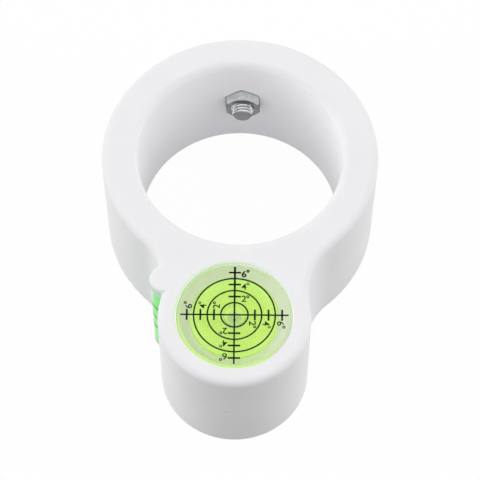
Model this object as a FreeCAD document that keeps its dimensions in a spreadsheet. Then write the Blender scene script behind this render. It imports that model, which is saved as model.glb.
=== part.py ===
"""Drill level attachment: a moulded collar with a bullseye vial, a tubular vial and a clamp screw.

Lengths are in millimetres. The origin lies on the bore's axis in the base plane. +Z runs up the bore to
the face with the bullseye vial, -Y points from the bore to the boss, and the clamp screw is at +Y.
"""
import FreeCAD, Part
import math
import os
import re

import Sketcher

# Driving sizes: alias, value, what it is.
SIZES = [
    ("body_height", 37.0, "collar, from the base to the top face"),
    ("bore_radius", 29.4, "bore that slips over the tool's neck"),
    ("ring_wall", 10.2, "thickness of the ring round the bore"),
    ("boss_setback", 12.4, "from the ring's outer face out to the axis of the boss"),
    ("boss_wall", 5.1, "plastic round the bullseye vial"),
    ("neck_radius", 20.0, "hollow curve between the ring and the boss"),
    ("edge_round", 2.0, "rounding of the collar's upper edges"),
    ("bullseye_radius", 16.0, "outside of the bullseye vial"),
    ("bullseye_height", 7.0, "bullseye vial, from its foot to its printed face"),
    ("bullseye_bevel", 0.8, "bevel round the printed face"),
    ("lens_thickness", 1.3, "clear plastic over the middle of the bubble"),
    ("dome_radius", 106.7, "hollow dome that the bubble runs under"),
    ("bullseye_wall", 3.8, "clear plastic round the liquid space of the bullseye vial"),
    ("plate_thickness", 2.6, "plate that closes the bullseye vial from below"),
    ("plate_step", 1.0, "width of the shoulder that the plate seats on"),
    ("bubble_radius", 2.75, "bubble of the bullseye vial"),
    ("bubble_depth", 1.3, "bubble, from the dome down"),
    ("seat_gap", 0.1, "clearance of the bullseye vial in its pocket, all round"),
    ("tube_radius", 4.0, "outside of the tubular vial"),
    ("tube_bevel", 0.35, "bevel at the ends of the tubular vial"),
    ("tube_wall", 1.0, "clear plastic round the liquid space of the tubular vial, at its ends"),
    ("tube_crown", 0.15, "how much the liquid space swells at half its length"),
    ("tube_end", 1.8, "closed end of the tubular vial"),
    ("tube_plug", 2.5, "plug in the other end"),
    ("tube_air", 5.0, "bubble at the top of the upright tubular vial"),
    ("tube_dish", 0.4, "hollow of the liquid's surface under that bubble"),
    ("tube_cap", 1.2, "plastic over the upper end of the tubular vial"),
    ("tube_foot", 0.2, "from the base up to the tubular vial"),
    ("tube_gap", 0.05, "clearance of the tubular vial in its channel, all round"),
    ("tube_angle", 28.9, "bearing of the tubular vial round the boss, in degrees"),
    ("cap_lip", 0.25, "how far the cap stands out beyond the tubular vial"),
    ("cap_round", 0.8, "rounding of the cap over the tubular vial"),
    ("vial_web", 2.2, "plastic between the pockets of the two vials"),
    ("film_gap", 0.02, "joint between a liquid or a bonded part and the wall round it"),
    ("screw_radius", 3.0, "outside of the clamp screw's thread"),
    ("screw_length", 20.0, "clamp screw under its head"),
    ("screw_bevel", 0.65, "bevel at the screw's tip"),
    ("head_radius", 6.0, "pan head"),
    ("head_height", 4.4, "pan head"),
    ("head_round", 2.6, "rounding of the pan head"),
    ("recess_span", 6.4, "cross recess, from end to end of a slot"),
    ("recess_slot", 1.7, "cross recess, width of a slot"),
    ("recess_depth", 2.9, "cross recess"),
    ("recess_draft", 9.0, "slope of the recess walls, in degrees"),
    ("tip_proud", 2.6, "screw's tip past the nut"),
    ("hole_gap", 0.2, "clearance of the screw in the ring, all round"),
    ("thread_gap", 0.05, "clearance of the screw in the nut, all round"),
    ("nut_flats", 10.0, "nut across its flats"),
    ("nut_height", 5.0, "nut"),
    ("nut_proud", 3.0, "nut inside the bore"),
    ("nut_turn", 5.0, "nut's turn from corner up, in degrees"),
    ("nut_bevel", 0.35, "from the middle of a flat in to the nut's round face"),
    ("nut_slope", 30.0, "slope of the nut's bevels, in degrees"),
    ("nut_mouth", 0.5, "bevel at the mouths of the nut's thread"),
    ("nut_gap", 0.1, "clearance of the nut in its recess, all round"),
]

# Places and sizes that follow from the driving sizes.
RING_RADIUS = "(bore_radius + ring_wall)"
BOSS_RADIUS = "(bullseye_radius + boss_wall)"
BOSS_SPAN = f"({RING_RADIUS} + boss_setback)"
CHAMBER_RADIUS = "(bullseye_radius - bullseye_wall)"
PLATE_SEAT = f"({CHAMBER_RADIUS} + plate_step)"
TUBE_SPAN = "(bullseye_radius + seat_gap + vial_web + tube_gap + tube_radius)"
TUBE_X = f"(-{TUBE_SPAN} * cos(tube_angle))"
TUBE_Y = f"(-{BOSS_SPAN} + {TUBE_SPAN} * sin(tube_angle))"
TUBE_LENGTH = "(body_height - tube_cap - tube_foot)"
TUBE_BORE = "(tube_radius - tube_wall)"
CAP_RADIUS = "(tube_radius + cap_lip)"
SCREW_HEIGHT = "(body_height / 2)"
NUT_BACK = "(bore_radius - nut_proud + nut_height)"
SCREW_SEAT = "(bore_radius - nut_proud - tip_proud + screw_length)"

WORDS = re.compile("|".join(sorted((name for name, _, _ in SIZES), key=len, reverse=True)))

doc = FreeCAD.newDocument("drill_level_attachment")
sheet = doc.addObject("Spreadsheet::Sheet", "Sizes")


def fill_sheet():
    """Writes each driving size as a row of the sheet: its name, its value and what it is."""
    for row, (name, value, meaning) in enumerate(SIZES, start=1):
        sheet.set(f"A{row}", name)
        sheet.set(f"B{row}", str(value))
        sheet.set(f"C{row}", meaning)
        sheet.setAlias(f"B{row}", name)
    doc.recompute()


def bound(text):
    """An expression on the sheet's cells, from one that uses the bare names of the sizes."""
    return WORDS.sub(lambda word: f"Sizes.{word.group(0)}", text)


def number(text):
    """What such an expression is worth now."""
    return float(sheet.evalExpression(bound(text)))


def new_body(name, x="0", y="0", z="0", tilt=0.0):
    """A body whose origin is bound to a place; tilt turns it about X, in degrees."""
    body = doc.addObject("PartDesign::Body", name)
    body.Label = name
    body.Placement = FreeCAD.Placement(FreeCAD.Vector(), FreeCAD.Rotation(FreeCAD.Vector(1, 0, 0), tilt))
    for axis, text in zip("xyz", (x, y, z)):
        body.setExpression(f".Placement.Base.{axis}", bound(text))
    return body


def new_sketch(body, name, role, across="0", along="0", out="0"):
    """A sketch on one of the body's own planes, moved by bound distances in and out of that plane."""
    sketch = body.newObject("Sketcher::SketchObject", name)
    plane = next(item for item in body.Origin.OriginFeatures if item.Role == role)
    sketch.AttachmentSupport = [(plane, "")]
    sketch.MapMode = "FlatFace"
    for axis, text in zip("xyz", (across, along, out)):
        sketch.setExpression(f".AttachmentOffset.Base.{axis}", bound(text))
    return sketch


def bind(sketch, kind, *places, to):
    """Adds a dimension to the sketch and binds it to an expression."""
    index = sketch.addConstraint(Sketcher.Constraint(kind, *places, number(to)))
    sketch.renameConstraint(index, f"size_{index}")
    sketch.setExpression(f"Constraints.size_{index}", bound(to))


def pin(sketch, curve, point, x, y):
    """Holds one point of a curve at a bound place, measured from the sketch's origin."""
    bind(sketch, "DistanceX", -1, 1, curve, point, to=x)
    bind(sketch, "DistanceY", -1, 1, curve, point, to=y)


def draw_circle(sketch, radius, x="0", y="0"):
    """A circle with a bound centre and radius."""
    centre = FreeCAD.Vector(number(x), number(y), 0)
    curve = sketch.addGeometry(Part.Circle(centre, FreeCAD.Vector(0, 0, 1), number(radius)), False)
    pin(sketch, curve, 3, x, y)
    bind(sketch, "Radius", curve, to=radius)


def arc_between(start, end, radius, way):
    """The shorter arc of a radius from one point to another that turns "left" or "right".

    It is drawn anticlockwise, so an arc that turns right starts at its far end.
    """
    chord = end - start
    side = FreeCAD.Vector(-chord.y, chord.x, 0).normalize() * (1 if way == "left" else -1)
    centre = (start + end) / 2 + side * math.sqrt(radius ** 2 - chord.Length ** 2 / 4)
    first, last = (start, end) if way == "left" else (end, start)
    bearings = [math.atan2(point.y - centre.y, point.x - centre.x) for point in (first, last)]
    return Part.ArcOfCircle(Part.Circle(centre, FreeCAD.Vector(0, 0, 1), radius), *bearings)


def draw_profile(sketch, corners):
    """A closed outline. Each corner is (x, y), or (x, y, radius, way) where an arc leaves it."""
    places = [FreeCAD.Vector(number(corner[0]), number(corner[1]), 0) for corner in corners]
    curves, first_ends, last_ends = [], [], []
    for index, corner in enumerate(corners):
        start, end = places[index], places[(index + 1) % len(places)]
        if len(corner) == 2:
            shape = Part.LineSegment(start, end)
        else:
            shape = arc_between(start, end, number(corner[2]), corner[3])
        turned = len(corner) == 4 and corner[3] == "right"
        curves.append(sketch.addGeometry(shape, False))
        first_ends.append(2 if turned else 1)
        last_ends.append(1 if turned else 2)
    for index, corner in enumerate(corners):
        places = (curves[index - 1], last_ends[index - 1], curves[index], first_ends[index])
        sketch.addConstraint(Sketcher.Constraint("Coincident", *places))
        pin(sketch, curves[index], first_ends[index], corner[0], corner[1])
        if len(corner) == 4:
            bind(sketch, "Radius", curves[index], to=corner[2])


def pad(body, name, sketch, length, backwards=False):
    """Raises the sketch into the solid, along its plane's normal."""
    feature = body.newObject("PartDesign::Pad", name)
    feature.Profile = sketch
    feature.Reversed = backwards
    feature.setExpression("Length", bound(length))
    doc.recompute()
    return feature


def cut(body, name, sketch, length, along_normal, draft=None):
    """Sinks the sketch into the solid by a length, along its plane's normal or against it."""
    before = body.Shape.Volume
    feature = body.newObject("PartDesign::Pocket", name)
    feature.Profile = sketch
    feature.Reversed = along_normal
    feature.setExpression("Length", bound(length))
    if draft:
        feature.setExpression("TaperAngle", bound(draft))
    doc.recompute()
    if body.Shape.Volume >= before:
        raise RuntimeError(f"{name} takes nothing away")
    return feature


def revolve(body, name, sketch, kind="PartDesign::Revolution"):
    """Turns the sketch once round its own vertical axis."""
    feature = body.newObject(kind, name)
    feature.Profile = sketch
    feature.ReferenceAxis = (sketch, ["V_Axis"])
    feature.Angle = 360
    doc.recompute()
    return feature


def soften(body, name, size, choose, kind="PartDesign::Fillet"):
    """Rounds or bevels the edges of the body that choose(edge) picks."""
    base = body.Tip
    names = [f"Edge{index}" for index, edge in enumerate(base.Shape.Edges, start=1) if choose(edge)]
    if not names:
        raise RuntimeError(f"{name} finds no edge")
    feature = body.newObject(kind, name)
    feature.Base = (base, names)
    feature.setExpression("Radius" if kind == "PartDesign::Fillet" else "Size", bound(size))
    doc.recompute()
    return feature


def at_height(height):
    """Picks the edges that lie flat at a height of the body's own frame."""
    level = number(height)
    return lambda edge: abs(edge.BoundBox.ZMin - level) < 0.001 and abs(edge.BoundBox.ZMax - level) < 0.001


def ring_of(radius, *heights):
    """Picks the round edges of a radius that lie at any of some heights of the body's own frame."""
    size = number(radius)
    flat = [at_height(height) for height in heights]

    def choose(edge):
        is_round = isinstance(edge.Curve, Part.Circle) and abs(edge.Curve.Radius - size) < 0.001
        return is_round and any(test(edge) for test in flat)

    return choose


# Collar

def draw_collar_outline(sketch):
    """Ring and boss joined by two hollow curves: four arcs, each tangent to the next."""
    ring, boss = number(RING_RADIUS), number(BOSS_RADIUS)
    neck, span = number("neck_radius"), number(BOSS_SPAN)
    height = ((boss + neck) ** 2 - (ring + neck) ** 2 - span ** 2) / (2 * span)
    reach = math.sqrt((ring + neck) ** 2 - height ** 2)
    to_ring = math.atan2(height, reach)
    to_boss = math.atan2(height + span, reach)
    arcs = [
        (0, 0, ring, to_ring, math.pi - to_ring),
        (-reach, height, neck, -to_boss, -to_ring),
        (0, -span, boss, math.pi - to_boss, to_boss),
        (reach, height, neck, math.pi + to_ring, math.pi + to_boss),
    ]
    for x, y, radius, start, end in arcs:
        circle = Part.Circle(FreeCAD.Vector(x, y, 0), FreeCAD.Vector(0, 0, 1), radius)
        sketch.addGeometry(Part.ArcOfCircle(circle, start, end), False)
    ring_arc, left_neck, boss_arc, right_neck = range(len(arcs))
    joins = [
        (ring_arc, 2, left_neck, 2),
        (left_neck, 1, boss_arc, 1),
        (boss_arc, 2, right_neck, 2),
        (right_neck, 1, ring_arc, 1),
    ]
    for join in joins:
        sketch.addConstraint(Sketcher.Constraint("Tangent", *join))
    sketch.addConstraint(Sketcher.Constraint("Coincident", ring_arc, 3, -1, 1))
    sketch.addConstraint(Sketcher.Constraint("PointOnObject", boss_arc, 3, -2))
    bind(sketch, "DistanceY", boss_arc, 3, -1, 1, to=BOSS_SPAN)
    bind(sketch, "Radius", ring_arc, to=RING_RADIUS)
    bind(sketch, "Radius", boss_arc, to=BOSS_RADIUS)
    bind(sketch, "Radius", left_neck, to="neck_radius")
    bind(sketch, "Radius", right_neck, to="neck_radius")


def draw_hexagon(sketch, across_flats):
    """A hexagon, corner up before its turn."""
    radius = f"({across_flats}) / 2 / cos(30)"
    bearings = [f"({30 + 60 * index} + nut_turn)" for index in range(6)]
    draw_profile(sketch, [(f"{radius} * cos{bearing}", f"{radius} * sin{bearing}") for bearing in bearings])


def build_collar():
    """The moulded body: ring, neck, boss, vial pockets, screw hole and nut recess."""
    body = new_body("collar_body")
    outline = new_sketch(body, "collar_outline", "XY_Plane")
    draw_collar_outline(outline)
    pad(body, "collar_block", outline, "body_height")

    bore = new_sketch(body, "bore_outline", "XY_Plane")
    draw_circle(bore, "bore_radius")
    cut(body, "bore", bore, "body_height", along_normal=True)
    soften(body, "upper_edges", "edge_round", at_height("body_height"))

    cap = new_sketch(body, "cap_profile", "XZ_Plane", across=TUBE_X, out=f"-{TUBE_Y}")
    draw_profile(cap, [
        ("0", "body_height - tube_cap"),
        (CAP_RADIUS, "body_height - tube_cap"),
        (CAP_RADIUS, "body_height - cap_round", "cap_round", "left"),
        (f"{CAP_RADIUS} - cap_round", "body_height"),
        ("0", "body_height"),
    ])
    revolve(body, "tube_cap_disc", cap)

    channel = new_sketch(body, "channel_outline", "XY_Plane")
    draw_circle(channel, "tube_radius + tube_gap", TUBE_X, TUBE_Y)
    cut(body, "tube_channel", channel, "body_height - tube_cap", along_normal=True)

    pocket = new_sketch(body, "pocket_outline", "XY_Plane", out="body_height")
    draw_circle(pocket, "bullseye_radius + seat_gap", "0", f"-{BOSS_SPAN}")
    cut(body, "bullseye_pocket", pocket, "bullseye_height", along_normal=False)

    hole = new_sketch(body, "hole_outline", "XZ_Plane", along=SCREW_HEIGHT)
    draw_circle(hole, "screw_radius + hole_gap")
    cut(body, "screw_hole", hole, f"{RING_RADIUS} + ring_wall", along_normal=False)

    recess = new_sketch(body, "recess_outline", "XZ_Plane", along=SCREW_HEIGHT, out=f"-{NUT_BACK}")
    draw_hexagon(recess, "nut_flats + 2 * nut_gap")
    cut(body, "nut_recess", recess, "nut_height", along_normal=True)
    return body


# Bullseye vial

DOME_CENTRE = "(bullseye_height - lens_thickness - dome_radius)"


def dome_height(radius, gap="0"):
    """Height of the dome, or of a surface a gap below it, at a radius from the vial's axis."""
    return f"({DOME_CENTRE} + sqrt((dome_radius - {gap})^2 - ({radius})^2))"


def bullseye_part(name):
    """A body in the frame of the bullseye vial: its axis, from its foot up."""
    return new_body(name, y=f"-{BOSS_SPAN}", z="body_height - bullseye_height")


def build_bullseye_housing():
    """Clear cup, upside down: side wall, lens with a hollow dome and a shoulder for the plate."""
    body = bullseye_part("bullseye_housing")
    profile = new_sketch(body, "housing_profile", "XZ_Plane")
    draw_profile(profile, [
        (PLATE_SEAT, "0"),
        ("bullseye_radius", "0"),
        ("bullseye_radius", "bullseye_height - bullseye_bevel"),
        ("bullseye_radius - bullseye_bevel", "bullseye_height"),
        ("0", "bullseye_height"),
        ("0", dome_height("0"), "dome_radius", "right"),
        (CHAMBER_RADIUS, dome_height(CHAMBER_RADIUS)),
        (CHAMBER_RADIUS, "plate_thickness"),
        (PLATE_SEAT, "plate_thickness"),
    ])
    revolve(body, "housing", profile)
    return body


def build_bullseye_back_plate():
    """White disc bonded into the housing's foot."""
    body = bullseye_part("bullseye_back_plate")
    outline = new_sketch(body, "plate_outline", "XY_Plane")
    draw_circle(outline, f"{PLATE_SEAT} - film_gap")
    pad(body, "plate", outline, "plate_thickness")
    return body


def build_bullseye_fluid():
    """The dyed liquid, with the bubble as a hollow in the middle of its upper face."""
    body = bullseye_part("bullseye_fluid")
    edge = f"({CHAMBER_RADIUS} - film_gap)"
    bubble_top = dome_height("bubble_radius", "film_gap")
    bubble_foot = f"({dome_height('0')} - bubble_depth)"
    sink = f"({bubble_top} - {bubble_foot})"
    bubble_curve = f"((bubble_radius^2 + {sink}^2) / 2 / {sink})"
    profile = new_sketch(body, "fluid_profile", "XZ_Plane")
    draw_profile(profile, [
        ("0", "plate_thickness"),
        (edge, "plate_thickness"),
        (edge, dome_height(edge, "film_gap"), "dome_radius - film_gap", "left"),
        ("bubble_radius", bubble_top, bubble_curve, "right"),
        ("0", bubble_foot),
    ])
    revolve(body, "fluid", profile)
    return body


# Tubular vial

TUBE_FLOOR = "tube_plug"
TUBE_ROOF = f"({TUBE_LENGTH} - tube_end)"
TUBE_MIDDLE = f"(({TUBE_FLOOR} + {TUBE_ROOF}) / 2)"
TUBE_HALF = f"(({TUBE_ROOF} - {TUBE_FLOOR}) / 2)"
CROWN_RADIUS = f"(({TUBE_HALF}^2 + tube_crown^2) / 2 / tube_crown)"


def tube_part(name):
    """A body in the frame of the tubular vial: its axis, from its plugged end up."""
    return new_body(name, x=TUBE_X, y=TUBE_Y, z="tube_foot")


def crown_reach(height, gap):
    """Radius of the swelling liquid space, less a gap, at a height of the vial's own frame."""
    swell = f"sqrt({CROWN_RADIUS}^2 - ({height} - {TUBE_MIDDLE})^2)"
    return f"({TUBE_BORE} + tube_crown - {CROWN_RADIUS} + {swell} - {gap})"


def build_tube_barrel():
    """Clear tube, closed at the top, with a liquid space that swells towards its middle."""
    body = tube_part("tube_vial_barrel")
    profile = new_sketch(body, "barrel_profile", "XZ_Plane")
    draw_profile(profile, [
        (TUBE_BORE, "0"),
        ("tube_radius - tube_bevel", "0"),
        ("tube_radius", "tube_bevel"),
        ("tube_radius", f"{TUBE_LENGTH} - tube_bevel"),
        ("tube_radius - tube_bevel", TUBE_LENGTH),
        ("0", TUBE_LENGTH),
        ("0", TUBE_ROOF),
        (TUBE_BORE, TUBE_ROOF, CROWN_RADIUS, "right"),
        (TUBE_BORE, TUBE_FLOOR),
    ])
    revolve(body, "barrel", profile)
    return body


def build_tube_plug():
    """Plug bonded into the barrel's lower end."""
    body = tube_part("tube_vial_plug")
    outline = new_sketch(body, "plug_outline", "XY_Plane")
    draw_circle(outline, f"{TUBE_BORE} - film_gap")
    pad(body, "plug", outline, TUBE_FLOOR)
    return body


def build_tube_fluid():
    """The dyed liquid up to its dished surface, with the air above it left empty."""
    body = tube_part("tube_vial_fluid")
    surface = f"({TUBE_ROOF} - tube_air)"
    rim = crown_reach(surface, "film_gap")
    dish_curve = f"(({rim}^2 + tube_dish^2) / 2 / tube_dish)"
    profile = new_sketch(body, "liquid_profile", "XZ_Plane")
    draw_profile(profile, [
        ("0", TUBE_FLOOR),
        (crown_reach(TUBE_FLOOR, "film_gap"), TUBE_FLOOR, f"{CROWN_RADIUS} - film_gap", "left"),
        (rim, surface, dish_curve, "right"),
        ("0", f"{surface} - tube_dish"),
    ])
    revolve(body, "liquid", profile)
    return body


# Clamp: screw and nut, each with its own +Z turned to point into the bore

FACE_BORE = 90.0


def build_screw():
    """Pan-head screw, its head's seat at its own origin."""
    body = new_body("clamp_screw", y=SCREW_SEAT, z=SCREW_HEIGHT, tilt=FACE_BORE)
    profile = new_sketch(body, "screw_profile", "XZ_Plane")
    draw_profile(profile, [
        ("0", "-head_height"),
        ("head_radius", "-head_height"),
        ("head_radius", "0"),
        ("screw_radius", "0"),
        ("screw_radius", "screw_length - screw_bevel"),
        ("screw_radius - screw_bevel", "screw_length"),
        ("0", "screw_length"),
    ])
    revolve(body, "screw_blank", profile)
    soften(body, "pan_round", "head_round", ring_of("head_radius", "-head_height"))

    half_span, half_slot = "recess_span / 2", "recess_slot / 2"
    quarter = [(half_span, half_slot), (half_slot, half_slot), (half_slot, half_span)]
    corners = []
    for turn in range(4):
        for x, y in quarter:
            corners.append({0: (x, y), 1: (f"-{y}", x), 2: (f"-{x}", f"-{y}"), 3: (y, f"-{x}")}[turn])
    cross = new_sketch(body, "cross_outline", "XY_Plane", out="-head_height")
    draw_profile(cross, corners)
    cut(body, "cross_recess", cross, "recess_depth", along_normal=True, draft="-recess_draft")
    return body


def build_nut():
    """Hexagon nut with bevelled corners, its back in the ring's recess."""
    body = new_body("clamp_nut", y=NUT_BACK, z=SCREW_HEIGHT, tilt=FACE_BORE)
    outline = new_sketch(body, "nut_outline", "XY_Plane")
    draw_hexagon(outline, "nut_flats")
    pad(body, "nut_block", outline, "nut_height")

    face = "(nut_flats / 2 - nut_bevel)"
    clear = "(nut_flats)"
    drop = f"(({clear} - {face}) * tan(nut_slope))"
    for name, level, inward in (("back", "0", drop), ("front", "nut_height", f"(nut_height - {drop})")):
        bevel = new_sketch(body, f"{name}_bevel_profile", "XZ_Plane")
        draw_profile(bevel, [(face, level), (clear, level), (clear, inward)])
        revolve(body, f"{name}_bevel", bevel, "PartDesign::Groove")

    thread = new_sketch(body, "thread_outline", "XY_Plane")
    draw_circle(thread, "screw_radius + thread_gap")
    cut(body, "nut_thread", thread, "nut_height", along_normal=True)
    mouths = ring_of("screw_radius + thread_gap", "0", "nut_height")
    soften(body, "nut_mouths", "nut_mouth", mouths, "PartDesign::Chamfer")
    return body


def check(bodies):
    """Stops if any object failed or any sub-part isn't one whole, valid solid."""
    for item in doc.Objects:
        if {"Invalid", "Error"} & set(item.State):
            raise RuntimeError(f"{item.Name} failed: {item.State}")
    for body in bodies:
        shape = body.Shape
        if shape.isNull() or not shape.isValid() or len(shape.Solids) != 1:
            raise RuntimeError(f"{body.Label} isn't one valid solid")


def main():
    """Builds the sub-parts and writes each as parts/LABEL.step."""
    fill_sheet()
    bodies = [
        build_collar(),
        build_bullseye_housing(),
        build_bullseye_back_plate(),
        build_bullseye_fluid(),
        build_tube_barrel(),
        build_tube_plug(),
        build_tube_fluid(),
        build_screw(),
        build_nut(),
    ]
    doc.recompute()
    check(bodies)
    os.makedirs("parts", exist_ok=True)
    for body in bodies:
        body.Shape.exportStep(f"parts/{body.Label}.step")
        box = body.Shape.BoundBox
        print(f"{body.Label}: {body.Shape.Volume:.1f} mm3, x {box.XMin:.2f} to {box.XMax:.2f}, "
              f"y {box.YMin:.2f} to {box.YMax:.2f}, z {box.ZMin:.2f} to {box.ZMax:.2f}")


main()
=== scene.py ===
"""Drill level attachment, dressed: white moulded collar, two vials and a zinc-plated clamp screw.

Lengths are in metres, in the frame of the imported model: origin on the bore's axis in the base
plane, +Z up to the face with the round vial, -Y towards the boss, +Y towards the clamp screw.
"""
import math

import bmesh
import bpy
from mathutils import Matrix, Vector


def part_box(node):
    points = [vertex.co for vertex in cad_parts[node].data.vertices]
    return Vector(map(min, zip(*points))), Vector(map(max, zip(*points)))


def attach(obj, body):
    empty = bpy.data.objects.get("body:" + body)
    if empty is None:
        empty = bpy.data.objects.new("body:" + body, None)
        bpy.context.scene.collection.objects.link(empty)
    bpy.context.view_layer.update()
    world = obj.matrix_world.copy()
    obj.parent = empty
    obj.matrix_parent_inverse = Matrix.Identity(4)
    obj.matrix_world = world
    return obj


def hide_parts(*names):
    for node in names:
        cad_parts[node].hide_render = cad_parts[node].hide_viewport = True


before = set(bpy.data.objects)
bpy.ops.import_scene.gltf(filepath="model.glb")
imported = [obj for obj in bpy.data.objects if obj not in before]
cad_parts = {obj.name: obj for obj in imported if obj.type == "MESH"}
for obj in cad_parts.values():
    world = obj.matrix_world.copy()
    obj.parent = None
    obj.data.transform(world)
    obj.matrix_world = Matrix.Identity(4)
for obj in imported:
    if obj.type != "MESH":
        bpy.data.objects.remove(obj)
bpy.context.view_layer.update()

MM = 0.001

# Gap between a liquid or plate of the scene and the acrylic round it.
FILM = 0.02 * MM

# Places and sizes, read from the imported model.
_, COLLAR_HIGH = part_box("collar_body")
HOUSING_LOW, HOUSING_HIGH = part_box("bullseye_housing")
PLATE_LOW, PLATE_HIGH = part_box("bullseye_back_plate")
LIME_LOW, LIME_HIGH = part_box("bullseye_fluid")
BARREL_LOW, BARREL_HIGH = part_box("tube_vial_barrel")
_, PLUG_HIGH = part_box("tube_vial_plug")
_, GREEN_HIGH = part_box("tube_vial_fluid")
SCREW_LOW, SCREW_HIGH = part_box("clamp_screw")
NUT_LOW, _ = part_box("clamp_nut")

VIAL_AXIS = (HOUSING_LOW + HOUSING_HIGH) / 2
VIAL_RADIUS = (HOUSING_HIGH.x - HOUSING_LOW.x) / 2
VIAL_FACE = HOUSING_HIGH.z
CHAMBER_RADIUS = (LIME_HIGH.x - LIME_LOW.x) / 2 + FILM
CHAMBER_FLOOR = PLATE_HIGH.z
TUBE_AXIS = (BARREL_LOW + BARREL_HIGH) / 2
TUBE_RADIUS = (BARREL_HIGH.x - BARREL_LOW.x) / 2
SCREW_LEVEL = (SCREW_LOW.z + SCREW_HIGH.z) / 2

# Sizes that the boxes don't give, as in the construction.
BORE_RADIUS = 29.4 * MM
VIAL_RIM = 0.8 * MM
LENS_THICKNESS = 1.3 * MM
DOME_RADIUS = 106.7 * MM
PLATE_STEP = 1.0 * MM
BUBBLE_RADIUS = 2.75 * MM
BUBBLE_DEPTH = 1.3 * MM
TUBE_BEVEL = 0.35 * MM
TUBE_BORE = 3.0 * MM
TUBE_CROWN = 0.15 * MM
TUBE_END = 1.8 * MM
TUBE_DISH = 0.4 * MM
SCREW_RADIUS = 3.0 * MM
HEAD_HEIGHT = 4.4 * MM

# Forms that only the scene has; the pip's rise is in depths of the grain.
RIM_CROWN = 0.06 * MM
TUBE_PALE = 3.6 * MM
TUBE_PALE_FOOT = 0.2 * MM
PIP_X = -1.9 * MM
PIP_HEIGHT = 19.2 * MM
PIP_CORE = 0.1 * MM
PIP_RADIUS = 0.75 * MM
PIP_STRETCH = 1.3
PIP_RISE = 25.0
CREASE = math.radians(30.0)

# Steps round a turned mesh, and along its curves.
ROUND_STEPS = 128
TUBE_STEPS = 96
BEVEL_STEPS = 6
CAP_STEPS = 6
DOME_STEPS = 12
DRY_STEPS = 5
WET_STEPS = 16
DISH_STEPS = 8

# Wavelengths of the finishes' noise, and depths of their bumps.
FLOW_MARKS = 14.0 * MM
SATIN_GRAIN = 0.35 * MM
GRAIN_DEPTH = 0.012 * MM
FLOOR_CLOUDS = 5.0 * MM
SEAT_CLOUDS = 4.0 * MM
TUBE_HAZE = 1.5 * MM
INK_WEAR = 0.8 * MM
PLATE_CLOUDS = 1.6 * MM
DRAWN_MARKS = 0.15 * MM
MARK_DEPTH = 0.008 * MM

# Refractive indices over air.
ACRYLIC_INDEX = 1.49
LIQUID_INDEX = 1.38

# Thread of the clamp screw, and the plain neck between it and the head.
NECK_LENGTH = 1.0 * MM
NECK = SCREW_HIGH.y - HEAD_HEIGHT - NECK_LENGTH
NECK_OVERLAP = 0.4 * MM
THREAD_PITCH = 1.0 * MM
THREAD_TOP = SCREW_RADIUS - 0.005 * MM
THREAD_ROOT = 2.42 * MM
THREAD_BEVEL = 0.65 * MM
THREAD_FLANK = (0.12, 0.88)
THREAD_GRID = (65, 281)
THREAD_WELD = 0.002 * MM

# Print of the round vial.
RING_STEP = 3.722 * MM
INK_THICKNESS = 0.02 * MM
CROSS_THICKNESS = 0.96 * INK_THICKNESS
RING_LINE = 0.43 * MM
ARM_LENGTH = 3.98 * RING_STEP
CROSS_LINE = 0.45 * MM
TICK_LINE = 0.52 * MM
TICK_LENGTH = 0.90 * RING_STEP
FAR_ARM_WIDENING = 1.4
PRINT_TURN = math.radians(1.1)
PRINT_GAP = 0.001 * MM
PRINT_LEVEL = VIAL_FACE - INK_THICKNESS / 2 - PRINT_GAP
FACE_OF_PRINT = VIAL_FACE - INK_THICKNESS - 2.0 * PRINT_GAP

# Its numbers, with places in ring steps beside an arm and along it.
DIGIT_HEIGHT = 1.85 * MM
DIGIT_PER_SIZE = 0.70
DIGIT_WIDENING = 1.10
DIGIT_ASIDE = 0.68
DIGIT_WEIGHTS = {"2": 0.035 * MM, "4": 0.015 * MM, "6": 0.035 * MM}
DIGIT_PLACES = {"2": 1.5 - 0.17, "4": 2.5 - 0.17, "6": 3.5 - 0.12}
FAR_DIGIT_WEIGHT = 0.08 * MM
DEGREE_ASIDE = 0.97
DEGREE_LIFTS = {"2": 0.16, "4": 0.23, "6": 0.25}
DEGREE_RADIUS = 0.40 * MM
DEGREE_LINE = 0.20 * MM
DEGREE_WEIGHT = 0.9
DEGREE_STEPS = 24

# Lines round the tubular vial.
TUBE_LINE_STEP = 6.1 * MM
TUBE_LINE_WIDTH = 0.8 * MM
TUBE_LINE_THICKNESS = 0.03 * MM
TUBE_LINE_LIFT = 0.008 * MM

# Camera, from the outlines of the ring, the boss and the bore in the photograph.
PHOTO_AZIMUTH = 1.492
PHOTO_ELEVATION = 61.195
PHOTO_ROLL = 0.226
CAMERA_DISTANCE = 551.02 * MM
CAMERA_TARGET = Vector((0.977 * MM, -28.812 * MM, COLLAR_HIGH.z))
CAMERA_REACH = 50.0
SENSOR = 36.0
FOCAL_LENGTH = 36.0 * 1976.94 / 480.0
PIXEL_CENTRE = 0.5 / 480.0

# Soft lights of the studio: bearing from +X and height in degrees, strength.
STUDIO = ((180.0, 12.0, 2.75), (0.0, 12.0, 1.38), (0.0, 50.0, 1.04), (90.0, 12.0, 0.50))

# Floor: half its side, its grey, and the share and strength of the white that the camera sees.
FLOOR_HALF = 3.0
FLOOR_GREY = 0.35
FLOOR_WHITE_SHARE = 0.9
FLOOR_WHITE = 1.07


# Node trees

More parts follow.
